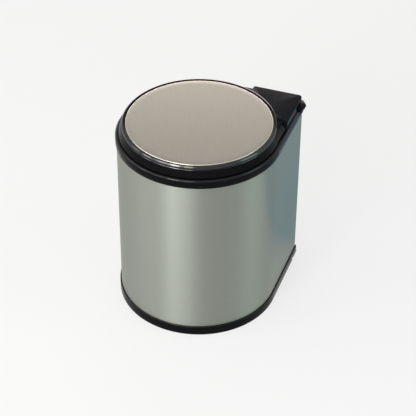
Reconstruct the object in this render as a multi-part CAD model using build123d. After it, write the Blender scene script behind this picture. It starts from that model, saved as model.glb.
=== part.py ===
"""Swing-out kitchen bin for the inside of a base cabinet.

A round steel-wrapped bin whose plan has one square corner. A wall bracket carries it on a
vertical pivot in that corner. As the bin swings out, a cam on the bracket lifts the lid, and
the inner bucket then lifts out by its bail.

Millimetres. The origin is on the round body's axis, at the base. +X leaves the flat side that
faces the cabinet door, +Y leaves the flat side that faces the cabinet wall, +Z is up.
"""
from build123d import *
from math import cos, radians, sin, sqrt
import os

# Sizes that the photograph shows
STEEL_R = 131.4
STEEL_CORNER = 2.6
STEEL_TOP_VISIBLE = 300.6
BASE_R = 133.8
BASE_CORNER = 4.0
BASE_TOP = 16.8
RIM_R = 133.3
RIM_CORNER = 3.6
RIM_TOP = 314.4
LID_FOOT_R = 128.0
LID_FOOT_Z = 315.0
BEAD_R = 122.9
BEAD_TOP = 333.9
DISC_R = 117.0
DISC_TOP = 333.5
CAP_EDGE = 130.0
CAP_CORNER = 4.0
CAP_TOP = 331.5
CAP_START = 48.0

# Pivot in the corner: pins, bushes and running gaps
PIVOT = 122.0
PIN_R = 4.0
RUN_GAP = 0.05
BUSH_R = 6.25
BUSH_FLANGE_R = 9.0
HEAD_R = 16.6
HEAD_Z = (306.0, 317.0)
SWEEP_GAP = 0.8
UPPER_PIN_Z = (293.5, 317.0)
UPPER_BUSH_Z = (297.0, 305.9)
CLIP_R = 6.3
CLIP_Z = (294.6, 295.6)
CLIP_GROOVE = 0.7
LOWER_PIN_TOP = 13.0
LOWER_BUSH_Z = (3.5, 14.0)
NOTCH_R = 17.8
NOTCH_TOP = 4.6

# Wall plate, pivot head's neck and foot of the bracket
WALL_GAP_Y = 138.0
PLATE_T = 2.5
PLATE_Y = (WALL_GAP_Y, WALL_GAP_Y + PLATE_T)
PLATE_X = (46.0, 121.0)
PLATE_Z = (8.0, 300.0)
PLATE_TAB_X = (92.0, 130.0)
PLATE_TAB_Z = (290.0, 316.0)
PLATE_CORNER = 4.0
FOLD_Y = WALL_GAP_Y - 2.6
FOLD_Z = (14.0, 294.0)
STIFFENER_Z = (70.0, 230.0)
STIFFENER_X = (73.0, 83.0)
STIFFENER_H = 1.5
SCREW_HOLE_R = 2.75
SCREW_PITCH_X = 42.0
SCREW_PITCH_Z = 220.0
SCREW_CENTRE = (78.0, 150.0)
NECK_X = (110.0, 129.5)
ARM_Z = (0.6, 3.4)
ARM_R = 11.5
LEG_X = (88.0, 113.0)
LEG_T = 2.8
LEG_TOP = 30.0
LEG_RIVETS = ((94.0, 20.0), (107.0, 20.0))
LEG_RIVET_R = 2.0
LEG_RIVET_HEAD_R = 3.6
HEAD_SCREWS = ((114.0, 311.5), (125.0, 311.5))
HEAD_SCREW_R = 1.7
HEAD_SCREW_HOLE_R = 2.0
HEAD_SCREW_TOP_R = 3.8

# Lid hinge, lift cam and follower
LID_AXIS_Y = 128.0
LID_AXIS_Z = 320.0
LID_PIN_R = 1.5
KNUCKLE_R = 3.2
RIM_KNUCKLES = ((52.0, 60.0), (74.0, 82.0), (96.0, 103.0))
LID_KNUCKLES = ((60.4, 73.6), (82.4, 95.6))
HINGE_PIN_X = (51.0, 104.0)
FOLLOWER_XY = (110.0, 117.8)
FOLLOWER_R = 2.5
FOLLOWER_FLANGE_R = 4.5
FOLLOWER_TIP_Z = 317.8
CAM_R = (9.3, 15.2)
CAM_ARC = (186.0, 284.0)
CAM_TOP = 327.6
CAM_FACE_Z = 322.24
CAM_SLOPE = (0.546, -0.325)

# Steel shell, rim collar and base
STEEL_T = 0.8
SHEET_GAP = 0.1
SHEET_Z = (10.8, 304.6)
SEAM_X = (22.0, 34.0)
WALL = 3.0
COLLAR_WALL = 4.6
COLLAR_FLOOR = 304.6
COLLAR_WEB = (299.0, 313.4)
CORNER_WEB_R = 22.0
SKIRT_Z = (288.0, 304.6)
RIM_OPENING_R = 121.0
COLLAR_RIVETS_X = (12.0, 60.0, 108.0)
COLLAR_RIVET_R = 1.6
COLLAR_RIVET_Z = 294.0
BUFFER_R = 1.6
BUFFER_REACH = 126.0
BUFFER_TURNS = (180.0, 240.0, 300.0)
FLOOR_TOP = 6.0
FLOOR_R = 126.5
HOLLOW_R = 129.0
POST_R = 13.0
BASE_RIB_T = 2.4
BASE_RIB_Z = (0.9, 3.5)
BASE_HUB_R = (29.5, 32.0)

# Inside of the lid
LID_WALL = 2.5
SEAT_Z = 331.0
ROOF_Z = 328.5
DISC_GAP = 0.3
RAIL_TOP = 330.4
RAIL_END = 49.0
CAP_SKIRT_Z = 316.5
CAP_REAR_Z = 324.2
CAP_CORNER_Z = 321.0
CAP_REAR_Y = 124.0
CAP_OPEN_X = 108.0
LID_SIDE = [
    (BEAD_R, 329.6),
    (123.3, 328.2),
    (124.3, 327.2),
    (127.4, 318.2),
    (LID_FOOT_R, LID_FOOT_Z),
    (125.4, LID_FOOT_Z),
    (124.9, 318.0),
    (121.6, 326.6),
    (119.6, ROOF_Z),
]

# Inner bucket and bail
BUCKET_R = (105.0, 115.0)
BUCKET_Z = (6.2, 306.5)
BUCKET_WALL = 2.0
BUCKET_FLANGE_R = 119.5
BUCKET_LIP = 9.0
EAR_X = (109.6, 113.6)
BAIL_R = 106.0
BAIL_Z = 301.0
BAIL_PIN_R = 1.8
BAIL_PIN_END = 113.2
BAIL_SOCKET_END = 114.0
STRAP = (2.4, 6.0)
GRIP = (8.0, 11.0)
GRIP_ARC = (245.0, 295.0)

HALF = sqrt(0.5)


def corner_plan(reach, corner):
    """Plan of the bin: a circle with two tangent flat sides that meet in one square corner."""
    bend = reach - corner
    edges = [
        ThreePointArc((0, reach), (-reach * HALF, -reach * HALF), (reach, 0)),
        Line((reach, 0), (reach, bend)),
        ThreePointArc((reach, bend), (bend + corner * HALF, bend + corner * HALF), (bend, reach)),
        Line((bend, reach), (0, reach)),
    ]
    return Face(Wire(edges))


def slab(plan, bottom, top):
    """Upright solid on a plan, between two heights."""
    return Pos(0, 0, bottom) * extrude(plan, top - bottom)


def post(radius, bottom, top, x=0.0, y=0.0):
    """Upright round solid between two heights."""
    return Pos(x, y, (bottom + top) / 2) * Cylinder(radius, top - bottom)


def block(x, y, z):
    """Box between three pairs of limits."""
    centre = [(low + high) / 2 for low, high in (x, y, z)]
    return Pos(*centre) * Box(x[1] - x[0], y[1] - y[0], z[1] - z[0])


def along_x(radius, x, y, z):
    """Round bar that lies along X between two limits."""
    return Pos((x[0] + x[1]) / 2, y, z) * Rot(0, 90, 0) * Cylinder(radius, x[1] - x[0])


def along_y(radius, x, y, z):
    """Round bar that lies along Y between two limits."""
    return Pos(x, (y[0] + y[1]) / 2, z) * Rot(90, 0, 0) * Cylinder(radius, y[1] - y[0])


def pivot_post(radius, bottom, top):
    """Upright round solid on the swing pivot."""
    return post(radius, bottom, top, PIVOT, PIVOT)


def revolved(points):
    """Solid of revolution about Z from a profile of (radius, height) points."""
    return revolve(Plane.XZ * make_face(Polyline(*points, close=True).edges()), Axis.Z)


# Bracket, screwed to the cabinet wall


def wall_plate():
    """Pressed steel plate with a folded front edge, a stiffening rib and four screw holes."""
    through = (PLATE_Y[0] - 1, PLATE_Y[1] + 1)
    x_mid, z_mid = SCREW_CENTRE
    plate = block(PLATE_X, PLATE_Y, PLATE_Z) + block(PLATE_TAB_X, PLATE_Y, PLATE_TAB_Z)
    plate = fillet(plate.edges().filter_by(Axis.Y), PLATE_CORNER)
    plate += block((PLATE_X[0], PLATE_X[0] + PLATE_T), (FOLD_Y, PLATE_Y[1]), FOLD_Z)
    rib = block(STIFFENER_X, (WALL_GAP_Y - STIFFENER_H, WALL_GAP_Y), STIFFENER_Z)
    plate += chamfer(rib.edges().group_by(Axis.Y)[0], 0.8 * STIFFENER_H)
    for side in (-1, 1):
        for end in (-1, 1):
            x = x_mid + side * SCREW_PITCH_X / 2
            z = z_mid + end * SCREW_PITCH_Z / 2
            plate -= along_y(SCREW_HOLE_R, x, through, z)
    for x, z in LEG_RIVETS:
        plate -= along_y(LEG_RIVET_R, x, through, z)
    for x, z in HEAD_SCREWS:
        plate -= along_y(HEAD_SCREW_HOLE_R, x, through, z)
        plate -= countersink(x, z)
    return plate


def countersink(x, z):
    """Cone of a flat screw head that ends flush with the back of the plate."""
    depth = HEAD_SCREW_TOP_R - HEAD_SCREW_HOLE_R
    cone = Pos(x, PLATE_Y[1] - depth / 2, z) * Rot(-90, 0, 0)
    return cone * Cone(HEAD_SCREW_HOLE_R, HEAD_SCREW_TOP_R, depth)


def pivot_head():
    """Black moulded block round the top of the pivot, on a neck from the wall plate."""
    bottom, top = HEAD_Z
    head = pivot_post(HEAD_R, bottom, top)
    head &= block((0, 2 * PIVOT), (0, WALL_GAP_Y), HEAD_Z)
    head += block(NECK_X, (PIVOT, WALL_GAP_Y), HEAD_Z)
    head = chamfer(head.edges().group_by(Axis.Z)[0], 1.0)
    head = chamfer(head.edges().group_by(Axis.Z)[-1], 1.0)
    head -= pivot_post(PIN_R, bottom - 1, top + 1)
    for x, z in HEAD_SCREWS:
        head -= along_y(HEAD_SCREW_R, x, (WALL_GAP_Y - 9, WALL_GAP_Y + 1), z)
    return head


def lift_cam():
    """Crown cam on the head: part of a ring whose top face is cut off at a slope.

    The follower's path round the pivot stays close to one sloping plane, so a flat cut makes a
    true cam. The high end is cut level, just under the cap's roof.
    """
    inner, outer = CAM_R
    first, last = (radians(turn) for turn in CAM_ARC)
    middle = (first + last) / 2
    reach = 3 * outer
    corners = [(PIVOT + reach * cos(turn), PIVOT + reach * sin(turn)) for turn in (first, middle, last)]
    wedge = make_face(Polyline((PIVOT, PIVOT), *corners, close=True).edges())
    ring = pivot_post(outer, HEAD_Z[1], CAM_TOP) - pivot_post(inner, HEAD_Z[1] - 1, CAM_TOP + 1)
    cam = ring & slab(wedge, HEAD_Z[1], CAM_TOP)
    slope_x, slope_y = CAM_SLOPE
    ramp = Plane(origin=(PIVOT, PIVOT, CAM_FACE_Z), z_dir=(-slope_x, -slope_y, 1))
    return cam - ramp * Pos(0, 0, reach / 2) * Box(4 * reach, 4 * reach, reach)


def lower_arm():
    """Steel foot under the corner of the base, with a leg riveted to the wall plate."""
    leg_y = (WALL_GAP_Y - LEG_T, WALL_GAP_Y)
    arm = pivot_post(ARM_R, *ARM_Z)
    arm += block((PIVOT - ARM_R, PIVOT + ARM_R), (PIVOT, WALL_GAP_Y), ARM_Z)
    arm += block((LEG_X[0], PIVOT), (leg_y[0] - 0.6, WALL_GAP_Y), ARM_Z)
    arm += block(LEG_X, leg_y, (ARM_Z[0], LEG_TOP))
    arm = fillet(arm.edges().filter_by(Axis.Y).group_by(Axis.Z)[-1], 5)
    arm -= pivot_post(PIN_R, -1, ARM_Z[1] + 1)
    for x, z in LEG_RIVETS:
        arm -= along_y(LEG_RIVET_R, x, (leg_y[0] - 2, WALL_GAP_Y + 1), z)
    return arm


def clip_groove(radius):
    """Ring round the upper pin at the retaining ring's height, out to a radius."""
    core = pivot_post(PIN_R - CLIP_GROOVE, CLIP_Z[0] - 1, CLIP_Z[1] + 1)
    return pivot_post(radius, *CLIP_Z) - core


def upper_pivot_pin():
    """Steel pin pressed into the head, grooved near its end for a retaining ring."""
    pin = pivot_post(PIN_R, *UPPER_PIN_Z) - clip_groove(PIN_R + 1)
    return chamfer(pin.edges().group_by(Axis.Z)[0], 0.6)


def pin_clip():
    """Retaining ring, open on one side, that keeps the bin's corner from lifting."""
    mouth = block((PIVOT - 2 * PIN_R, PIVOT), (PIVOT - 2, PIVOT + 2), (CLIP_Z[0] - 1, CLIP_Z[1] + 1))
    return clip_groove(CLIP_R) - mouth


def lower_pivot_pin():
    """Steel pin riveted into the foot, that the base's corner turns on."""
    pin = pivot_post(PIN_R, ARM_Z[0], LOWER_PIN_TOP)
    return chamfer(pin.edges().group_by(Axis.Z)[-1], 1.0)


def bracket_rivets():
    """Two rivets through the foot's leg and the wall plate."""
    rivets = []
    front = WALL_GAP_Y - LEG_T
    for x, z in LEG_RIVETS:
        shank = along_y(LEG_RIVET_R, x, (front, PLATE_Y[1]), z)
        rivets.append(shank + along_y(LEG_RIVET_HEAD_R, x, (front - 1.0, front), z))
    return Compound(rivets)


def head_screws():
    """Two countersunk screws from behind the plate into the pivot head."""
    screws = []
    for x, z in HEAD_SCREWS:
        shank = along_y(HEAD_SCREW_R, x, (WALL_GAP_Y - 8.5, PLATE_Y[1] - 1.0), z)
        screws.append(shank + countersink(x, z))
    return Compound(screws)


# Bin body, which swings


def sheet_inside():
    """Plan of the space inside the steel."""
    return corner_plan(STEEL_R - STEEL_T - SHEET_GAP, STEEL_CORNER - STEEL_T - SHEET_GAP)


def sheet_groove(bottom, top):
    """Groove that an edge of the steel is pressed into."""
    return slab(corner_plan(STEEL_R + SHEET_GAP, STEEL_CORNER + SHEET_GAP) - sheet_inside(), bottom, top)


def steel_shell():
    """Brushed sheet wrapped round the plan, with a lapped seam on the wall side."""
    inside = STEEL_R - STEEL_T
    plan = corner_plan(STEEL_R, STEEL_CORNER) - corner_plan(inside, STEEL_CORNER - STEEL_T)
    shell = slab(plan, *SHEET_Z)
    shell += block(SEAM_X, (inside - STEEL_T, inside), (BASE_TOP + 0.4, SKIRT_Z[0] - 1))
    for x in COLLAR_RIVETS_X:
        shell -= along_y(COLLAR_RIVET_R, x, (inside - 1, STEEL_R + 1), COLLAR_RIVET_Z)
    return shell


def rim_collar():
    """Moulded ring that caps the steel, with the bucket opening and the pivot corner."""
    collar = slab(corner_plan(RIM_R, RIM_CORNER), STEEL_TOP_VISIBLE, RIM_TOP)
    collar = chamfer(collar.edges().group_by(Axis.Z)[-1], 2.6)
    collar = chamfer(collar.edges().group_by(Axis.Z)[-1], 0.9)
    hollow = corner_plan(RIM_R - COLLAR_WALL, 1.5)
    collar -= slab(hollow, STEEL_TOP_VISIBLE - 1, RIM_TOP - WALL)
    collar += slab(sheet_inside() - hollow, *SKIRT_Z)
    collar += post(RIM_OPENING_R + WALL, 300.0, RIM_TOP) - post(RIM_OPENING_R, 299.0, RIM_TOP + 1)
    collar += slab(hollow, *COLLAR_WEB) & pivot_post(CORNER_WEB_R, *COLLAR_WEB)
    for turn in range(195, 436, 30):
        rib = block((RIM_OPENING_R + 1, RIM_R - WALL - 1), (-1, 1), (303, RIM_TOP - 1))
        collar += Rot(0, 0, turn) * rib
    collar -= post(RIM_OPENING_R, SKIRT_Z[0] - 1, RIM_TOP + 1)
    collar -= sheet_groove(STEEL_TOP_VISIBLE - 1, SHEET_Z[1] + 0.4)
    collar -= pivot_post(HEAD_R + SWEEP_GAP, COLLAR_FLOOR, RIM_TOP + 1)
    boss = pivot_post(BUSH_R + WALL, UPPER_BUSH_Z[0], COLLAR_FLOOR)
    collar += boss & slab(sheet_inside(), UPPER_BUSH_Z[0], COLLAR_FLOOR)
    collar -= pivot_post(BUSH_R, UPPER_BUSH_Z[0] - 1, COLLAR_FLOOR + 1)
    knuckle_y = (LID_AXIS_Y - KNUCKLE_R, LID_AXIS_Y + KNUCKLE_R)
    for x in RIM_KNUCKLES:
        collar += along_x(KNUCKLE_R, x, LID_AXIS_Y, LID_AXIS_Z)
        collar += block(x, knuckle_y, (RIM_TOP - 2, LID_AXIS_Z))
    collar -= along_x(LID_PIN_R + RUN_GAP, HINGE_PIN_X, LID_AXIS_Y, LID_AXIS_Z)
    for x in COLLAR_RIVETS_X:
        collar -= along_y(COLLAR_RIVET_R, x, (STEEL_R - 8, STEEL_R + 1), COLLAR_RIVET_Z)
    return collar


def base_tray():
    """Moulded base: a low ring round the steel, a ribbed floor and the lower pivot corner."""
    tray = slab(corner_plan(BASE_R, BASE_CORNER), 0, BASE_TOP)
    tray = chamfer(tray.edges().group_by(Axis.Z)[-1], 1.1)
    tray = chamfer(tray.edges().group_by(Axis.Z)[0], 0.8)
    tray -= slab(corner_plan(FLOOR_R, 3.0), FLOOR_TOP, BASE_TOP + 1) - pivot_post(POST_R, 0, BASE_TOP + 2)
    tray -= slab(corner_plan(HOLLOW_R, 3.0), -1, WALL) - pivot_post(NOTCH_R + 2.2, -2, WALL + 1)
    for turn in range(0, 360, 45):
        rib = block((BASE_HUB_R[1] - 2, FLOOR_R + 0.5), (-BASE_RIB_T / 2, BASE_RIB_T / 2), BASE_RIB_Z)
        tray += Rot(0, 0, turn) * rib
    tray += post(BASE_HUB_R[1], *BASE_RIB_Z) - post(BASE_HUB_R[0], 0.0, WALL + 1)
    tray -= sheet_groove(SHEET_Z[0] - 0.1, BASE_TOP + 1)
    tray -= pivot_post(NOTCH_R, -1, NOTCH_TOP)
    tray -= pivot_post(BUSH_R, NOTCH_TOP - 1, LOWER_BUSH_Z[1])
    return tray


def flanged_bush(low, high, flange_low, flange_high):
    """Acetal sleeve with a thrust flange, running on a pivot pin."""
    bush = pivot_post(BUSH_R, low, high) + pivot_post(BUSH_FLANGE_R, flange_low, flange_high)
    return bush - pivot_post(PIN_R + RUN_GAP, low - 1, high + 1)


def upper_pivot_bush():
    """Bush in the rim's corner; its flange carries the underside of the pivot head."""
    return flanged_bush(*UPPER_BUSH_Z, COLLAR_FLOOR, UPPER_BUSH_Z[1])


def lower_pivot_bush():
    """Bush in the base's corner; its flange stands on the foot."""
    return flanged_bush(*LOWER_BUSH_Z, LOWER_BUSH_Z[0], NOTCH_TOP)


def lid_hinge_pin():
    """Steel wire pin through the lid's and the rim's knuckles."""
    return along_x(LID_PIN_R, HINGE_PIN_X, LID_AXIS_Y, LID_AXIS_Z)


def lid_buffers():
    """Small rubber pads on the rim, that the closed lid rests on."""
    pads = []
    for turn in BUFFER_TURNS:
        x = BUFFER_REACH * cos(radians(turn))
        y = BUFFER_REACH * sin(radians(turn))
        pads.append(post(BUFFER_R, RIM_TOP, LID_FOOT_Z, x, y))
    return Compound(pads)


def collar_rivets():
    """Blind rivets through the steel and the collar's skirt, on the hidden wall side."""
    rivets = []
    for x in COLLAR_RIVETS_X:
        shank = along_y(COLLAR_RIVET_R, x, (127.0, STEEL_R + 0.1), COLLAR_RIVET_Z)
        head = along_y(2 * COLLAR_RIVET_R, x, (STEEL_R, STEEL_R + 0.9), COLLAR_RIVET_Z)
        rivets.append(shank + head)
    return Compound(rivets)


# Lid


def round_lid():
    """Round part of the lid: seat for the disc, raised bead and sloping side."""
    seat_r = DISC_R + DISC_GAP
    bead_r = (BEAD_R - seat_r) / 2
    bead = [
        (seat_r + bead_r * (1 + cos(radians(turn))), BEAD_TOP + bead_r * (sin(radians(turn)) - 1))
        for turn in (180, 135, 90, 45, 0)
    ]
    return revolved([(0, ROOF_Z), (0, SEAT_Z), (seat_r, SEAT_Z), *bead, *LID_SIDE])


def straight_edge():
    """The lid's edge along one flat side, from the round part to the cap."""
    top = [(100.0, ROOF_Z), (100.0, RAIL_TOP), (BEAD_R - 1, RAIL_TOP)]
    section = Polyline(*top, *LID_SIDE, close=True)
    return extrude(Plane.XZ * make_face(section.edges()), RAIL_END, dir=(0, 1, 0))


def corner_cap():
    """Flat hood over the pivot corner, with its hinge side cut open for knuckles and cam."""
    edge, start = CAP_EDGE, CAP_START
    hip = 148.0 - start
    plan = Polyline((edge, start), (edge, edge), (start, edge), (start, hip), (hip, start), close=True)
    cap = slab(make_face(plan.edges()), LID_FOOT_Z, CAP_TOP)
    cap = fillet(cap.edges().filter_by(Axis.Z).sort_by(SortBy.DISTANCE)[-1], CAP_CORNER)
    steps = [e for e in cap.edges().filter_by(Axis.Z) if max(e.center().X, e.center().Y) > edge - 1]
    steps = [e for e in steps if min(e.center().X, e.center().Y) < start + 1]
    cap = fillet(steps, 3.0)
    top = [e for e in cap.edges().group_by(Axis.Z)[-1] if e.center().X + e.center().Y > edge + start - 3]
    cap = chamfer(top, 1.6)
    wall = edge - LID_WALL
    near = start + LID_WALL
    past = hip - 8.0
    hollow = Polyline((wall, near), (wall, wall), (near, wall), (near, past), (past, near), close=True)
    cap -= slab(make_face(hollow.edges()), LID_FOOT_Z - 1, ROOF_Z)
    cap -= post(BEAD_R - LID_WALL, LID_FOOT_Z - 1, ROOF_Z)
    rear = (CAP_REAR_Y, edge + 1)
    cap -= block((start - 1, edge + 1), rear, (LID_FOOT_Z - 1, CAP_SKIRT_Z))
    cap -= block((near + 0.5, CAP_OPEN_X), rear, (LID_FOOT_Z - 1, CAP_REAR_Z))
    cap -= block((CAP_OPEN_X, wall), rear, (LID_FOOT_Z - 1, ROOF_Z))
    return cap


def lid_moulding():
    """The whole lid in one moulding: round lid, two straight edges, cap and hinge knuckles."""
    edge = straight_edge()
    lid = round_lid() + edge + mirror(edge, Plane(origin=(0, 0, 0), z_dir=(1, -1, 0)))
    lid += corner_cap()
    lid -= post(DISC_R + DISC_GAP, SEAT_Z, SEAT_Z + 10)
    lid -= pivot_post(HEAD_R + SWEEP_GAP + 1.8, LID_FOOT_Z - 2, CAP_CORNER_Z)
    for x in LID_KNUCKLES:
        lid += along_x(KNUCKLE_R, x, LID_AXIS_Y, LID_AXIS_Z)
        lid += block(x, (LID_AXIS_Y - 1.4, LID_AXIS_Y + 1.4), (LID_AXIS_Z, ROOF_Z + 1))
    bore = (LID_KNUCKLES[0][0] - 1, LID_KNUCKLES[-1][1] + 1)
    return lid - along_x(LID_PIN_R + RUN_GAP, bore, LID_AXIS_Y, LID_AXIS_Z)


def lid_disc():
    """Pressed disc of brushed stainless steel, its edge turned down into the bead's seat."""
    disc = post(DISC_R, SEAT_Z, DISC_TOP)
    disc = chamfer(disc.edges().group_by(Axis.Z)[-1], 0.9)
    return disc - post(DISC_R - STEEL_T, SEAT_Z - 1, DISC_TOP - STEEL_T)


def cam_follower():
    """Acetal peg under the cap, with a blunt round tip that slides up the cam."""
    x, y = FOLLOWER_XY
    middle = FOLLOWER_TIP_Z + FOLLOWER_R
    flange_z = ROOF_Z - 1.2
    tip = [(0, middle - 2.3), (1.0, middle - 2.3), (2.3, middle - 1.0), (FOLLOWER_R, middle)]
    shank = [(FOLLOWER_R, flange_z), (FOLLOWER_FLANGE_R, flange_z), (FOLLOWER_FLANGE_R, ROOF_Z), (0, ROOF_Z)]
    return Pos(x, y, 0) * revolved(tip + shank)


# Inner bucket and its bail


def inner_bucket():
    """Tapered bucket with a turned-down rim and two ears for the bail."""
    bottom, top = BUCKET_Z
    foot_r, mouth_r = BUCKET_R
    lip_r = BUCKET_FLANGE_R
    lip_z = top - BUCKET_LIP
    outside = [
        (0, bottom + 1.6), (foot_r - 12, bottom + 1.6), (foot_r - 14, bottom), (foot_r - 6, bottom),
        (foot_r, bottom + 6), (mouth_r, top - BUCKET_WALL), (lip_r - 1.8, top - BUCKET_WALL),
        (lip_r - 1.8, lip_z), (lip_r, lip_z), (lip_r, top),
    ]
    inside = [
        (mouth_r - BUCKET_WALL, top), (foot_r - BUCKET_WALL, bottom + 7.5),
        (foot_r - 7, bottom + 3.6), (0, bottom + 3.6),
    ]
    bucket = revolved(outside + inside)
    for side in (-1, 1):
        ear = block(sorted((side * EAR_X[0], side * EAR_X[1])), (-6, 6), (BAIL_Z - 6, BAIL_Z + 5))
        socket = sorted((side * BAIL_R, side * BAIL_SOCKET_END))
        bucket += ear
        bucket -= along_x(BAIL_PIN_R + RUN_GAP, socket, 0, BAIL_Z)
    return bucket


def bail_arc(size, first, last):
    """Part of a flat ring that lies level in the bucket's mouth, of a width and height."""
    width, height = size
    ring = post(BAIL_R + width / 2, BAIL_Z - height / 2, BAIL_Z + height / 2)
    ring -= post(BAIL_R - width / 2, BAIL_Z - height, BAIL_Z + height)
    spread = 3 * BAIL_R
    ends = [(spread * cos(radians(turn)), spread * sin(radians(turn))) for turn in (first, 270, last)]
    sector = make_face(Polyline((0, 0), *ends, close=True).edges())
    return ring & slab(sector, BAIL_Z - height, BAIL_Z + height)


def half_strap():
    """Half ring of spring steel strap."""
    return bail_arc(STRAP, 180.0, 360.0)


def bail_strap():
    """Spring steel strap bent to half a ring, with round ends in the bucket's ears."""
    bail = half_strap()
    for side in (-1, 1):
        ends = sorted((side * BAIL_R, side * BAIL_PIN_END))
        bail += along_x(BAIL_PIN_R, ends, 0, BAIL_Z)
    return bail


def bail_grip():
    """Plastic grip moulded round the middle of the bail."""
    grip = bail_arc(GRIP, *GRIP_ARC)
    grip = chamfer(grip.edges().filter_by(GeomType.CIRCLE), 1.2)
    return grip - half_strap()


PARTS = [
    wall_plate, pivot_head, lift_cam, lower_arm, upper_pivot_pin, pin_clip, lower_pivot_pin,
    bracket_rivets, head_screws,
    steel_shell, rim_collar, base_tray, upper_pivot_bush, lower_pivot_bush, lid_hinge_pin,
    lid_buffers, collar_rivets,
    lid_moulding, lid_disc, cam_follower,
    inner_bucket, bail_strap, bail_grip,
]

os.makedirs("parts", exist_ok=True)
for make in PARTS:
    export_step(make(), f"parts/{make.__name__}.step")
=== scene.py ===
# %% [markdown]
# A swing-out kitchen bin, dressed for a studio picture.
# The construction comes in as a fixed frame: every piece at its real size and place.
# This lesson gives each piece its finish, remodels the pieces whose rounded edges catch the
# light, and sets up the floor, the lamps and the camera. Lengths are in metres.

# %% Load the frame
from math import cos, pi, radians, sin, sqrt

import bmesh
import bpy
from mathutils import Matrix, Vector


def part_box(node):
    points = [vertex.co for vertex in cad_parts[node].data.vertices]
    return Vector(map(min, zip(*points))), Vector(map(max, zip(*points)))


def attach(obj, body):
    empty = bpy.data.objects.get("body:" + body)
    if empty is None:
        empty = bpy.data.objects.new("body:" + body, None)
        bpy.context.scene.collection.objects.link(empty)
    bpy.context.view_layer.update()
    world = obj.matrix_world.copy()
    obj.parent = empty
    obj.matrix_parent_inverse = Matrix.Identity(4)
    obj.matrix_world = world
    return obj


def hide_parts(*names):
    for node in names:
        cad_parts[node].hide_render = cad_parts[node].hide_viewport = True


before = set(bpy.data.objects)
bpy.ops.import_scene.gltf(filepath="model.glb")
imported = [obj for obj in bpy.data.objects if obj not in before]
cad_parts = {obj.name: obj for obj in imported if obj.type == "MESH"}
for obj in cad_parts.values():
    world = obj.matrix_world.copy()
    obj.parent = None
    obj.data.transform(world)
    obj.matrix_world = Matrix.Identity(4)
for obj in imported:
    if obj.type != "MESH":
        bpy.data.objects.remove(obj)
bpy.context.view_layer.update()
MM = 0.001

# %% [markdown]
# The sizes that the remodelled pieces share with the frame are measured on it. The bin's plan
# is a circle with two flat sides that run on, tangent to it, to one square corner. The origin
# is on the circle's axis, +X leaves the door side, +Y the wall side.

# %% Sizes from the frame
rim_low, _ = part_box("rim_collar")
disc_low, disc_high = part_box("lid_disc")
lid_low, lid_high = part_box("lid_moulding")
head_low, head_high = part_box("pivot_head")
pin_low, pin_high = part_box("upper_pivot_pin")

RIM_R = -rim_low.x
DISC_R = disc_high.x
DISC_TOP = disc_high.z
LID_FOOT_R = -lid_low.x
LID_FOOT_Z = lid_low.z
BEAD_TOP = lid_high.z
PIVOT = ((pin_low.x + pin_high.x) / 2, (pin_low.y + pin_high.y) / 2)
print("rim radius", round(RIM_R, 4), "disc radius", round(DISC_R, 4))
print("lid top", round(BEAD_TOP, 4), "pivot at", [round(v, 4) for v in PIVOT])

# %% [markdown]
# Colours are written as sRGB hex, the way a paint chart gives them. Blender's shaders work in
# linear light, so one function turns a hex value into linear numbers.

# %% Colour helper


def linear(hex_colour):
    """sRGB hex to linear red, green, blue and alpha."""
    channels = [int(hex_colour[i : i + 2], 16) / 255 for i in (1, 3, 5)]
    out = [c / 12.92 if c <= 0.04045 else ((c + 0.055) / 1.055) ** 2.4 for c in channels]
    return (*out, 1.0)


print("mid grey in linear light:", round(linear("#808080")[0], 3))

# %% [markdown]
# A material is a small network of nodes. One helper adds a node, sets its values and links its
# inputs, so each material below reads as a short recipe.

# %% Node helper


def add_node(tree, kind, settings=None, **inputs):
    """Adds a node; an input is a value, or the output socket of another node."""
    node = tree.nodes.new(kind)
    for name, value in (settings or {}).items():
        setattr(node, name, value)
    for name, value in inputs.items():
        key = int(name[2:]) if name.startswith("in") else name.replace("_", " ")
        socket = node.inputs[key]
        if isinstance(value, bpy.types.NodeSocket):
            tree.links.new(value, socket)
        else:
            socket.default_value = value
    return node


def new_material(name, **shader):
    """A material with a Principled shader, and its tree, shader and object coordinates."""
    material = bpy.data.materials.new(name)
    material.use_nodes = True
    tree = material.node_tree
    surface = tree.nodes["Principled BSDF"]
    for key, value in shader.items():
        surface.inputs[key.replace("_", " ")].default_value = value
    place = add_node(tree, "ShaderNodeTexCoord").outputs["Object"]
    return material, tree, surface, place


def colour_and_height(tree, surface, pattern, colours, stops, strength, height):
    """A pattern that varies the colour between two tones and the surface by a small height."""
    tone = add_node(tree, "ShaderNodeValToRGB", Fac=pattern)
    for element, stop, colour in zip(tone.color_ramp.elements, stops, colours):
        element.position, element.color = stop, colour
    tree.links.new(tone.outputs[0], surface.inputs["Base Color"])
    raise_by_pattern(tree, surface, pattern, strength, height)


def raise_by_pattern(tree, surface, pattern, strength, height):
    """A bump, for relief that is too fine to model."""
    bump = add_node(tree, "ShaderNodeBump", Height=pattern, Strength=strength, Distance=height)
    tree.links.new(bump.outputs[0], surface.inputs["Normal"])


print("helpers ready")

# %% [markdown]
# The wrap is stainless sheet, brushed lengthways and then rolled round the bin, so its fine
# scratches run level. Level scratches spread each reflection up and down, which is why a
# brushed drum shows tall soft bands. An anisotropic shader does that: its tangent runs round
# the axis, and a quarter turn makes the stretch upright. Real scratches are about 0.05 mm
# wide; they are drawn ten times coarser, so that they show, and faint, as they are on the bin.

# %% Brushed stainless wrap
SCRATCH = 0.5 * MM
SCRATCH_LENGTH = 50  # times its width
SCRATCH_HEIGHT = 0.2 * MM
SCRATCH_STOPS = (0.3, 0.7)


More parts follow.
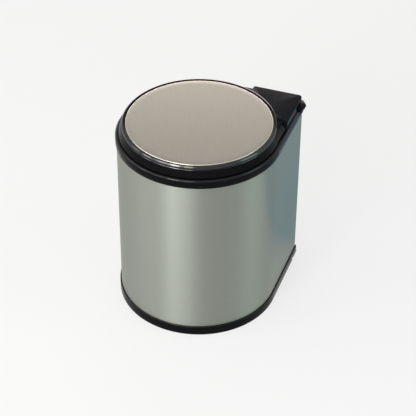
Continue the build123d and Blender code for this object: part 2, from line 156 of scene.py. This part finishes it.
def scratches(tree, surface, vector, low, high, strength):
    """Fine streaks in colour and height, from a noise stretched along the brushing."""
    grain = add_node(tree, "ShaderNodeTexNoise", Vector=vector, Scale=1.0, Detail=3.0)
    tones = (linear(low), linear(high))
    colour_and_height(
        tree, surface, grain.outputs[0], tones, SCRATCH_STOPS, strength, SCRATCH_HEIGHT
    )


def brushed_wrap():
    material, tree, surface, place = new_material(
        "stainless_wrap_brushed",
        Metallic=1.0,
        Roughness=0.45,
        Anisotropic=0.85,
        Anisotropic_Rotation=0.25,
    )
    run = 1 / (SCRATCH_LENGTH * SCRATCH)
    level = add_node(tree, "ShaderNodeMapping", Vector=place, Scale=(run, run, 1 / SCRATCH))
    scratches(tree, surface, level.outputs[0], "#8d9189", "#91958d", 0.004)
    round_axis = add_node(tree, "ShaderNodeTangent", {"direction_type": "RADIAL", "axis": "Z"})
    tree.links.new(round_axis.outputs[0], surface.inputs["Tangent"])
    return material


WRAP = brushed_wrap()
print("made", WRAP.name)

# %% [markdown]
# The lid's disc is the same steel, but brushed straight before it was pressed, so its
# scratches all run one way. The disc made further down has a UV map whose U axis lies across
# the scratches, and the shader's tangent reads it: reflections stretch across the scratches.
# The press die rubs the disc's edge smooth, so it has no scratches; its lighter colour is a
# painted highlight for the light along the rolled edge.

# %% Brushed stainless disc
GRAIN_TURN = radians(-72)


def brushed_disc():
    material, tree, surface, place = new_material(
        "stainless_disc_brushed", Metallic=1.0, Roughness=0.38, Anisotropic=0.6
    )
    turned = add_node(tree, "ShaderNodeMapping", Vector=place, Rotation=(0, 0, -GRAIN_TURN))
    stretch = (1 / (SCRATCH_LENGTH * SCRATCH), 1 / SCRATCH, 1.0)
    straight = add_node(tree, "ShaderNodeMapping", Vector=turned.outputs[0], Scale=stretch)
    scratches(tree, surface, straight.outputs[0], "#87867c", "#8e8c82", 0.015)
    across = add_node(
        tree, "ShaderNodeTangent", {"direction_type": "UV_MAP", "uv_map": "brushing"}
    )
    tree.links.new(across.outputs[0], surface.inputs["Tangent"])
    return material


DISC = brushed_disc()
# The edge's lighter metal colour is a painted highlight; only its lower roughness is the real
# polish.
DISC_EDGE_PAINTED_HIGHLIGHT, _, _, _ = new_material(
    "stainless_edge_polished_painted_highlight", Metallic=1.0, Roughness=0.3, Base_Color=linear("#bdbab1")
)
print("made", DISC.name, DISC_EDGE_PAINTED_HIGHLIGHT.name)

# %% [markdown]
# The lid, rim and base are polypropylene, coloured black all through, and the mould's surface
# decides how each area looks. The big faces come from plain ground steel and shine softly. The
# outer edges and the bead come from polished steel: the light draws thin lines on them. The
# flat cap comes from a spark textured face, whose fine pits scatter light into a softer black.
# Real pits are about 0.1 mm; they are drawn five times coarser, so that they show.

# %% Moulded black plastics
PIT = 0.5 * MM
PIT_HEIGHT = 0.2 * MM
HAZE_PER_METRE = 35.0
HAZE_SHARES = (0.85, 1.15)
POLYPROPYLENE_IOR = 1.49


def black_plastic(name, colour, roughness, level, pit_strength):
    material, tree, surface, place = new_material(
        name, Roughness=roughness, IOR=POLYPROPYLENE_IOR, Specular_IOR_Level=level
    )
    pits = add_node(tree, "ShaderNodeTexNoise", Vector=place, Scale=1 / PIT, Detail=2.0)
    haze = add_node(tree, "ShaderNodeTexNoise", Vector=place, Scale=HAZE_PER_METRE, Detail=2.0)
    tone = add_node(tree, "ShaderNodeValToRGB", Fac=haze.outputs[0])
    dark = linear(colour)[:3]
    for stop, share in zip(tone.color_ramp.elements, HAZE_SHARES):
        stop.color = (*[c * share for c in dark], 1)
    tree.links.new(tone.outputs[0], surface.inputs["Base Color"])
    raise_by_pattern(tree, surface, pits.outputs[0], pit_strength, PIT_HEIGHT)
    return material


GLOSS_BLACK = black_plastic("polypropylene_black_gloss", "#08080a", 0.2, 0.05, 0.02)
EDGE_BLACK = black_plastic("polypropylene_black_edge", "#08080a", 0.16, 0.2, 0.005)
BEAD_BLACK = black_plastic("polypropylene_black_polished", "#08080a", 0.12, 0.55, 0.005)
GRAIN_BLACK = black_plastic("polypropylene_black_grained", "#080a0e", 0.24, 0.03, 0.2)
print("made", GLOSS_BLACK.name, EDGE_BLACK.name, BEAD_BLACK.name, GRAIN_BLACK.name)

# %% [markdown]
# The pieces that do not show in the picture have plain trade finishes: zinc plate on the
# bracket, bright drawn steel pins and rivets, natural acetal bushes, soft rubber buffers and a
# grey bucket. Each gets a little mottle, because even these are never one flat colour.

# %% Trade finishes
MOTTLE_STOPS = (0.35, 0.65)
MOTTLE_HEIGHT = 0.3 * MM


def mottled(name, low, high, size_mm, roughness, metallic=0.0, strength=0.05):
    material, tree, surface, place = new_material(name, Roughness=roughness, Metallic=metallic)
    cloud = add_node(
        tree, "ShaderNodeTexNoise", Vector=place, Scale=1 / (size_mm * MM), Detail=4.0
    )
    tones = (linear(low), linear(high))
    colour_and_height(
        tree, surface, cloud.outputs[0], tones, MOTTLE_STOPS, strength, MOTTLE_HEIGHT
    )
    return material


ZINC = mottled("steel_zinc_plated", "#a9acad", "#bfc2c2", 6, 0.42, 1.0)  # crystal patches
BRIGHT = mottled("steel_drawn_bright", "#b9bbbb", "#cccdcd", 2, 0.25, 1.0)  # clear reflections
ACETAL = mottled("acetal_natural", "#e3e0d4", "#eeebe0", 1.5, 0.45)  # waxy off-white
RUBBER = mottled("rubber_black_soft", "#161616", "#202020", 1, 0.75, strength=0.2)  # dull
BUCKET = mottled("polypropylene_grey_matte", "#4d5052", "#54575a", 0.8, 0.5, strength=0.15)
GRIP = mottled("polypropylene_grip", "#18191b", "#1f2022", 0.8, 0.4, strength=0.2)

FINISHES = {
    "wall_plate": ZINC,
    "lower_arm": ZINC,
    "pivot_head": GRAIN_BLACK,
    "lift_cam": ACETAL,
    "cam_follower": ACETAL,
    "upper_pivot_bush": ACETAL,
    "lower_pivot_bush": ACETAL,
    "upper_pivot_pin": BRIGHT,
    "lower_pivot_pin": BRIGHT,
    "pin_clip": BRIGHT,
    "bracket_rivets": BRIGHT,
    "head_screws": BRIGHT,
    "collar_rivets": BRIGHT,
    "lid_hinge_pin": BRIGHT,
    "bail_strap": BRIGHT,
    "bail_grip": GRIP,
    "lid_buffers": RUBBER,
    "inner_bucket": BUCKET,
    "steel_shell": WRAP,
    "base_tray": GLOSS_BLACK,
    "rim_collar": GLOSS_BLACK,
    "lid_moulding": GLOSS_BLACK,
    "lid_disc": DISC,
}

for node, material in FINISHES.items():
    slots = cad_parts[node].data.materials
    slots.clear()
    slots.append(material)
print("dressed", len(FINISHES), "nodes")

# %% [markdown]
# The frame's solids have chamfers where the real mouldings have small radii. A radius is what
# catches a line of light, so it has to show. Each moulded node is copied, its loose triangles
# are joined, and its normals are smoothed across the chamfers only: edges sharper than 50
# degrees stay sharp, and the Weighted Normal modifier keeps the big flat faces flat.

# %% Helpers for the visual pieces


def finished(piece, body, slot, *nodes):
    """Turns a piece's modifiers into plain mesh, hangs it on its body, and hides the frame
    nodes it replaces.
    """
    view = bpy.context.evaluated_depsgraph_get()
    shape = bpy.data.meshes.new_from_object(piece.evaluated_get(view))
    shape.name = piece.name
    piece.modifiers.clear()
    piece.data = shape
    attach(piece, body)
    if nodes:
        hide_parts(*nodes)
    print(piece.name, "faces", len(shape.polygons))
    return piece


def new_piece(name, mesh, *materials):
    """An object in the scene for a mesh, with its materials."""
    piece = bpy.data.objects.new(name, mesh)
    bpy.context.scene.collection.objects.link(piece)
    for material in materials:
        mesh.materials.append(material)
    return piece


def mesh_from(work, name):
    """A mesh from a bmesh, which is freed."""
    mesh = bpy.data.meshes.new(name)
    work.to_mesh(mesh)
    work.free()
    return mesh


def soften(mesh, angle):
    """Smooth shading, kept sharp past an angle in degrees."""
    mesh.shade_smooth()
    mesh.set_sharp_from_angle(angle=radians(angle))


print("piece helpers ready")

# %% Rounded copies of the mouldings
JOIN_WITHIN = 0.001 * MM
HARD_EDGE = 50
FLAT_WEIGHT = 80


def rounded_piece(node, name, *materials):
    """A copy of a node, its triangles joined, whose chamfers shade as radii."""
    work = bmesh.new()
    work.from_mesh(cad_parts[node].data)
    bmesh.ops.remove_doubles(work, verts=work.verts, dist=JOIN_WITHIN)
    mesh = mesh_from(work, node)
    soften(mesh, HARD_EDGE)
    piece = new_piece(name, mesh, *materials)
    weigh = piece.modifiers.new("weigh", "WEIGHTED_NORMAL")
    weigh.keep_sharp = True
    weigh.weight = FLAT_WEIGHT
    return piece


def polish_edges(piece):
    """Gives the sloping faces that run round the outside the polished finish."""
    inside = RIM_R - 5 * MM
    for face in piece.data.polygons:
        x, y, _ = face.center
        if 0.2 < face.normal.z < 0.97 and sqrt(x * x + y * y) > inside:
            face.material_index = 1


for node in ("rim_collar", "base_tray"):
    moulded = rounded_piece(node, node + "_moulded", GLOSS_BLACK, EDGE_BLACK)
    polish_edges(finished(moulded, "bin", "black_moulding", node))
bucket = rounded_piece("inner_bucket", "inner_bucket_moulded", BUCKET)
finished(bucket, "bucket", "grey_bucket", "inner_bucket")

# %% [markdown]
# Many of the forms that follow turn about one axis, so a lathe makes them: a profile of
# points, spun round.

# %% Lathe helper


def lathe(name, profile, steps):
    """Closed ring or disc: a closed profile of (radius, height) in metres, spun about Z."""
    work = bmesh.new()
    turns = [2 * pi * k / steps for k in range(steps)]
    rings = []
    for radius, height in profile:
        if radius < 1e-6:
            rings.append([work.verts.new((0, 0, height))] * steps)
        else:
            spots = [(radius * cos(t), radius * sin(t), height) for t in turns]
            rings.append([work.verts.new(spot) for spot in spots])
    for inner, outer in zip(rings, rings[1:] + rings[:1]):
        for k in range(steps):
            after = (k + 1) % steps
            corners = dict.fromkeys([inner[k], outer[k], outer[after], inner[after]])
            if len(corners) > 2:
                work.faces.new(list(corners))
    bmesh.ops.recalc_face_normals(work, faces=work.faces)
    return mesh_from(work, name)


def arc(centre, radius, first, last, count):
    """Points on an arc in the profile plane, angles in degrees."""
    turns = [radians(first + (last - first) * k / count) for k in range(count + 1)]
    return [(centre[0] + radius * cos(t), centre[1] + radius * sin(t)) for t in turns]


print("lathe ready")

# %% [markdown]
# The pivot head is a moulded hub that flares out under the lid to an eight-sided top. Both are
# turned on the lathe, moved over to the pivot and cut flat where the wall plate passes, and a
# rounded neck joins them to the plate. The top is closed, so the steel pin pressed in from
# below doesn't show.

# %% Pivot head
HEAD_R = head_high.x - PIVOT[0]
HUB_R = HEAD_R - 5 * MM
HUB_ROUND = 0.6 * MM
EIGHT_LOW = head_low.z + 6.6 * MM
TOP_TURN = radians(12.5)
TOP_ROUND = 0.8 * MM
HEAD_TOP = head_high.z + 0.3 * MM


def moved_to_pivot(mesh, turn=0.0):
    """Turns a lathe shape, moves it to the pivot and cuts it flat at the wall plate."""
    for vertex in mesh.vertices:
        x, y, _ = vertex.co
        vertex.co.x = PIVOT[0] + x * cos(turn) - y * sin(turn)
        vertex.co.y = min(PIVOT[1] + x * sin(turn) + y * cos(turn), head_high.y)
    return mesh


def hub():
    """Round hub that flares out below the lid."""
    foot, flare = HUB_R - HUB_ROUND, HEAD_R - HUB_ROUND
    profile = [(0, head_low.z), (foot, head_low.z)]
    profile += arc((foot, head_low.z + HUB_ROUND), HUB_ROUND, -90, 0, 3)[1:]
    profile += [(HUB_R, head_low.z + 2.6 * MM), (flare, EIGHT_LOW)]
    profile += [(flare, EIGHT_LOW + 1.0 * MM), (0, EIGHT_LOW + 1.0 * MM)]
    return moved_to_pivot(lathe("hub", profile, 96))


def eight_sided_top():
    """Closed top with eight sides and one corner out over the door side."""
    corner = HEAD_R / cos(TOP_TURN)
    profile = [(0, EIGHT_LOW), (corner - 0.6 * MM, EIGHT_LOW), (corner, EIGHT_LOW + 0.6 * MM)]
    profile += arc((corner - TOP_ROUND, HEAD_TOP - TOP_ROUND), TOP_ROUND, 0, 90, 3)
    profile += [(0, HEAD_TOP)]
    return moved_to_pivot(lathe("top", profile, 8), TOP_TURN)


def neck():
    """Rounded block from the hub to the wall plate."""
    work = bmesh.new()
    bmesh.ops.create_cube(work, size=1.0)
    low_x, high_x = PIVOT[0] - 12 * MM, PIVOT[0] + 7.5 * MM
    low_y, high_y = PIVOT[1] - 2 * MM, head_high.y
    low_z, high_z = head_low.z + 1.0 * MM, head_high.z - 0.2 * MM
    for vertex in work.verts:
        x, y, z = vertex.co
        vertex.co.x = low_x if x < 0 else high_x
        vertex.co.y = low_y if y < 0 else high_y
        vertex.co.z = low_z if z < 0 else high_z
    bmesh.ops.bevel(work, geom=work.edges[:], offset=1.0 * MM, segments=3, affect="EDGES")
    return mesh_from(work, "neck")


def joined(name, *meshes):
    """One mesh from several closed ones."""
    work = bmesh.new()
    for mesh in meshes:
        work.from_mesh(mesh)
    return mesh_from(work, name)


head = joined("pivot_head_moulded", hub(), eight_sided_top(), neck())
soften(head, 40)
head_piece = new_piece("pivot_head_moulded", head, GLOSS_BLACK)
finished(head_piece, "bracket", "black_moulding", "pivot_head")

# %% [markdown]
# The lid is one moulding with two finishes. Faces of the flat cap outside the bead get the
# grained plastic, and the rest stays glossy.

# %% Lid moulding
SEAT_R = DISC_R + 0.3 * MM
BEAD_OUT = SEAT_R + 5.6 * MM
CAP_DEPTH = 4.2 * MM

lid = rounded_piece("lid_moulding", "lid_moulded", GLOSS_BLACK, GRAIN_BLACK)
for face in lid.data.polygons:
    x, y, z = face.center
    beyond_bead = sqrt(x * x + y * y) > BEAD_OUT + 0.4 * MM
    face.material_index = int(beyond_bead and z > BEAD_TOP - CAP_DEPTH)
finished(lid, "lid", "black_lid", "lid_moulding")

# %% [markdown]
# A skin a twentieth of a millimetre outside the moulding gives the bead its fine roundness.
# The photograph shows two bright lines on the bead's front: one on its shoulder and one in the
# hollow at its foot. Both come from narrow lands that face 35 degrees up, halfway between the
# camera and the lamps, so both lands are in the profile, and only they get the polish.

# %% Lid bead
PROUD = 0.05 * MM
BEAD_TUBE = (BEAD_OUT - SEAT_R) / 2
BEAD_MID = (SEAT_R + BEAD_TUBE, BEAD_TOP - BEAD_TUBE)
HOLLOW_R = 2.2 * MM
HOLLOW_Z = BEAD_TOP - 4.7 * MM
LAND = 35
HALF_LAND = 22


def flat_land(centre, radius, first, last):
    """A straight land between two angles; points near its ends keep its middle flat."""
    (r0, z0), (r1, z1) = arc(centre, radius, first, last, 1)
    return [(r0 + (r1 - r0) * f, z0 + (z1 - z0) * f) for f in (0, 0.1, 0.9, 1)]


def bead_profile():
    """Bead, hollow radius at its foot and sloping side, closed inside the moulding."""
    crown = arc(BEAD_MID, BEAD_TUBE + PROUD, 180, 80, 9)
    outside = BEAD_TUBE / cos(radians(HALF_LAND))
    crown += flat_land(BEAD_MID, outside, LAND + HALF_LAND, LAND - HALF_LAND)
    centre, radius = (BEAD_OUT + HOLLOW_R, HOLLOW_Z), HOLLOW_R - PROUD
    hollow = [(BEAD_OUT + PROUD, HOLLOW_Z)]
    hollow += flat_land(centre, radius, 180 + LAND - HALF_LAND, 180 + LAND + HALF_LAND)
    hollow += arc(centre, radius, 245, 252, 1)
    foot = LID_FOOT_R + PROUD
    side = [(foot - 0.45 * MM, LID_FOOT_Z + 2.6 * MM)]
    side += arc((foot - 1.0 * MM, LID_FOOT_Z + 1.4 * MM), 0.95 * MM, 20, -20, 3)
    inside = [(foot - 1.2 * MM, LID_FOOT_Z + 1.0 * MM)]
    inside += [(BEAD_OUT - 0.8 * MM, BEAD_TOP - 5.0 * MM)]
    inside += [(SEAT_R + 0.6 * MM, BEAD_TOP - 4.6 * MM), (SEAT_R - PROUD, BEAD_TOP - 3.6 * MM)]
    return crown + hollow + side + inside


bead = lathe("lid_bead", bead_profile(), 192)
bead_piece = new_piece("lid_bead", bead, BEAD_BLACK, GLOSS_BLACK)
for face in bead.polygons:
    x, y, z = face.center
    on_lands = sqrt(x * x + y * y) > BEAD_MID[0] + 0.8 * MM and z > BEAD_TOP - 6.6 * MM
    face.material_index = int(not on_lands)
soften(bead, 40)
finished(bead_piece, "lid", "black_lid")

# %% [markdown]
# The disc is pressed from 0.8 mm sheet and its edge is rolled down, which gives the bright line
# round it,
# together with a painted highlight: the edge's colour is painted lighter. It is a lathe shape
# too, with a very slight crown, and its UV map is a flat projection turned so that U lies
# across the brushing.

# %% Lid disc
EDGE_ROLL = 1.3 * MM
CROWN = 0.25 * MM
SHEET = 0.8 * MM
CROWN_STEPS = 12


def disc_profile():
    parts = [k / CROWN_STEPS for k in range(CROWN_STEPS)]
    top = [(DISC_R * part, DISC_TOP + CROWN * (1 - part**2)) for part in parts]
    roll = arc((DISC_R - EDGE_ROLL, DISC_TOP - EDGE_ROLL), EDGE_ROLL, 90, 0, 6)
    lip = disc_low.z + 0.1 * MM
    under = [(DISC_R, lip), (DISC_R - SHEET, lip), (DISC_R - SHEET, DISC_TOP - EDGE_ROLL)]
    under += [(DISC_R - EDGE_ROLL, DISC_TOP - SHEET), (0, DISC_TOP - SHEET)]
    return top + roll + under


def map_brushing(mesh):
    """UV map with U across the scratches and V back along them."""
    layer = mesh.uv_layers.new(name="brushing")
    across = (cos(GRAIN_TURN + pi / 2), sin(GRAIN_TURN + pi / 2))
    along = (cos(GRAIN_TURN), sin(GRAIN_TURN))
    for corner, loop in enumerate(mesh.loops):
        x, y, _ = mesh.vertices[loop.vertex_index].co
        u, v = x * across[0] + y * across[1], -(x * along[0] + y * along[1])
        layer.data[corner].uv = (u, v)


disc = lathe("lid_disc_pressed", disc_profile(), 192)
map_brushing(disc)
disc_piece = new_piece("lid_disc_pressed", disc, DISC, DISC_EDGE_PAINTED_HIGHLIGHT)
# Faces on the rolled edge get the lighter colour of the painted highlight.
for face in disc.polygons:
    x, y, _ = face.center
    face.material_index = int(sqrt(x * x + y * y) > DISC_R - EDGE_ROLL)
soften(disc, 40)
finished(disc_piece, "lid", "brushed_disc", "lid_disc")

# %% [markdown]
# The camera stands where the photograph was taken from: well back, with a long lens, about 38
# degrees above the floor and 20 degrees round from the front.

# %% Camera
LENS = 126.43
SENSOR = 36.0
DISTANCE = 2.4
ELEVATION = radians(37.87)
AZIMUTH = radians(19.88)
CAMERA_ROLL = radians(0.17)
AIM = Vector((0, 0, 0.17))
SHIFT = (0.0216, -0.0117)


def outward(turn, rise):
    """Unit vector from the bin toward a place round from the front and up."""
    return Vector((sin(turn) * cos(rise), -cos(turn) * cos(rise), sin(rise)))


back = outward(AZIMUTH, ELEVATION)
camera_data = bpy.data.cameras.new("camera")
camera_data.lens = LENS
camera_data.sensor_width = SENSOR
camera_data.shift_x, camera_data.shift_y = SHIFT
camera = bpy.data.objects.new("camera", camera_data)
camera.location = AIM + back * DISTANCE
camera.rotation_mode = "QUATERNION"
level_view = (-back).to_track_quat("-Z", "Y")
camera.rotation_quaternion = level_view @ Matrix.Rotation(CAMERA_ROLL, 3, "Z").to_quaternion()
bpy.context.scene.collection.objects.link(camera)
bpy.context.scene.camera = camera
print("camera at", [round(v, 3) for v in camera.location])

# %% [markdown]
# The floor is one pale sheet that runs on into a pale surround. The camera and the glossy
# surfaces see most of it at its written colour, and a part of it as a lit surface, so that
# the bin keeps a soft shadow where it stands.

# %% Floor and surround
PAPER = "#f3f3f3"
LIT_PAPER = "#d2d2d2"
HALF_FLOOR = 6.0
SHADOW_SHARE = 0.2
WORLD_TINT = "#ffffff"
WORLD_LEVEL = 0.6


def flat_sheet(name, x_range, y_range, height, material):
    """A level rectangle with one material."""
    (x0, x1), (y0, y1) = x_range, y_range
    corners = [(x0, y0, height), (x1, y0, height), (x1, y1, height), (x0, y1, height)]
    mesh = bpy.data.meshes.new(name)
    mesh.from_pydata(corners, [], [(0, 1, 2, 3)])
    return new_piece(name, mesh, material)


def seen_share(tree, share):
    """Share for rays from the camera, off gloss or through glass, and 0 for other rays."""
    rays = add_node(tree, "ShaderNodeLightPath").outputs
    larger = {"operation": "MAXIMUM"}
    first = add_node(
        tree, "ShaderNodeMath", larger, in0=rays["Is Camera Ray"], in1=rays["Is Glossy Ray"]
    )
    both = add_node(
        tree, "ShaderNodeMath", larger, in0=first.outputs[0], in1=rays["Is Transmission Ray"]
    )
    times = {"operation": "MULTIPLY"}
    return add_node(tree, "ShaderNodeMath", times, in0=both.outputs[0], in1=share).outputs[0]


def mixed(tree, share, plain, seen, output):
    """Sends a mix of two shaders to the tree's output."""
    mix = add_node(tree, "ShaderNodeMixShader", in0=share, in1=plain, in2=seen)
    tree.links.new(mix.outputs[0], tree.nodes[output].inputs["Surface"])


def pale_floor():
    material, tree, surface, _ = new_material(
        "paper_pale", Roughness=0.9, Specular_IOR_Level=0.0, Base_Color=linear(LIT_PAPER)
    )
    glow = add_node(tree, "ShaderNodeEmission", Color=linear(PAPER), Strength=1.0)
    share = seen_share(tree, 1 - SHADOW_SHARE)
    mixed(tree, share, surface.outputs[0], glow.outputs[0], "Material Output")
    reach = (-HALF_FLOOR, HALF_FLOOR)
    floor = flat_sheet("floor", reach, reach, 0, material)


def pale_surround():
    world = bpy.data.worlds.new("studio")
    bpy.context.scene.world = world
    world.use_nodes = True
    tree = world.node_tree
    even = tree.nodes["Background"]
    even.inputs["Color"].default_value = linear(WORLD_TINT)
    even.inputs["Strength"].default_value = WORLD_LEVEL
    seen = add_node(tree, "ShaderNodeBackground", Color=linear(PAPER), Strength=1.0)
    mixed(tree, seen_share(tree, 1.0), even.outputs[0], seen.outputs[0], "World Output")


pale_floor()
pale_surround()
print("floor and surround ready")

# %% [markdown]
# The wrap's door side turns blue-grey in the photograph. It mirrors the floor beside the bin,
# so a pale blue card lies there. Only shiny surfaces see it: it isn't in the picture and it
# throws no shadow.

# %% Blue card
CARD_BLUE = "#9fc4d6"
CARD_X = (0.15, 0.6)
CARD_Y = (0.16, 0.8)
CARD_HEIGHT = 0.5 * MM

glow_blue, _, _, _ = new_material(
    "card_pale_blue",
    Roughness=0.9,
    Specular_IOR_Level=0.0,
    Base_Color=(0, 0, 0, 1),
    Emission_Color=linear(CARD_BLUE),
    Emission_Strength=1.0,
)
card = flat_sheet("blue_card", CARD_X, CARD_Y, CARD_HEIGHT, glow_blue)
card.visible_camera = card.visible_diffuse = card.visible_shadow = False
print("card ready")

# %% [markdown]
# Soft lamps shape the metal. Each is a flat panel that faces the bin, named for where it
# stands and given by its direction round from the front, its height, distance, size and
# power. The camera doesn't see the panels themselves.

# %% Soft lamps


def soft_lamp(name, azimuth, elevation, distance, size, watts, tint):
    """A flat soft lamp that looks at the bin from a direction."""
    panel = bpy.data.lights.new(name, "AREA")
    panel.shape = "RECTANGLE"
    panel.size, panel.size_y = size
    panel.energy = watts
    panel.color = linear(tint)[:3]
    lamp = bpy.data.objects.new(name, panel)
    out = outward(radians(azimuth), radians(elevation))
    lamp.location = AIM + out * distance
    lamp.rotation_mode = "QUATERNION"
    lamp.rotation_quaternion = (-out).to_track_quat("-Z", "Y")
    lamp.visible_camera = False
    bpy.context.scene.collection.objects.link(lamp)


# name, degrees round from the front, degrees up, metres away, metres wide and high, watts, tint
LAMPS = [
    ("overhead", 0, 85, 2.0, (1.5, 1.5), 5, "#ffffff"),
    ("left_far", -80, 30, 2.2, (0.9, 1.2), 9, "#fffaf6"),
    ("left_mid", -55, 30, 2.2, (0.45, 1.2), 10, "#fff4ec"),
    ("left_near", -33, 30, 2.2, (0.35, 1.2), 4, "#fff4ec"),
    ("left_band", -14, 30, 2.2, (0.4, 1.2), 25, "#ffffff"),
    ("long_strip", -26, 32, 2.2, (2.4, 0.25), 14, "#ffffff"),
    ("front", 5, 30, 2.2, (0.4, 1.2), 12, "#fffaf2"),
    ("right", 92, 28, 2.2, (0.9, 1.2), 11, "#d0fff2"),
    ("behind", 200, 20, 2.4, (2.0, 0.6), 24, "#ffecea"),
]
for lamp in LAMPS:
    soft_lamp(*lamp)
bpy.context.scene.view_settings.view_transform = "Standard"
print("lamps ready:", len(LAMPS))
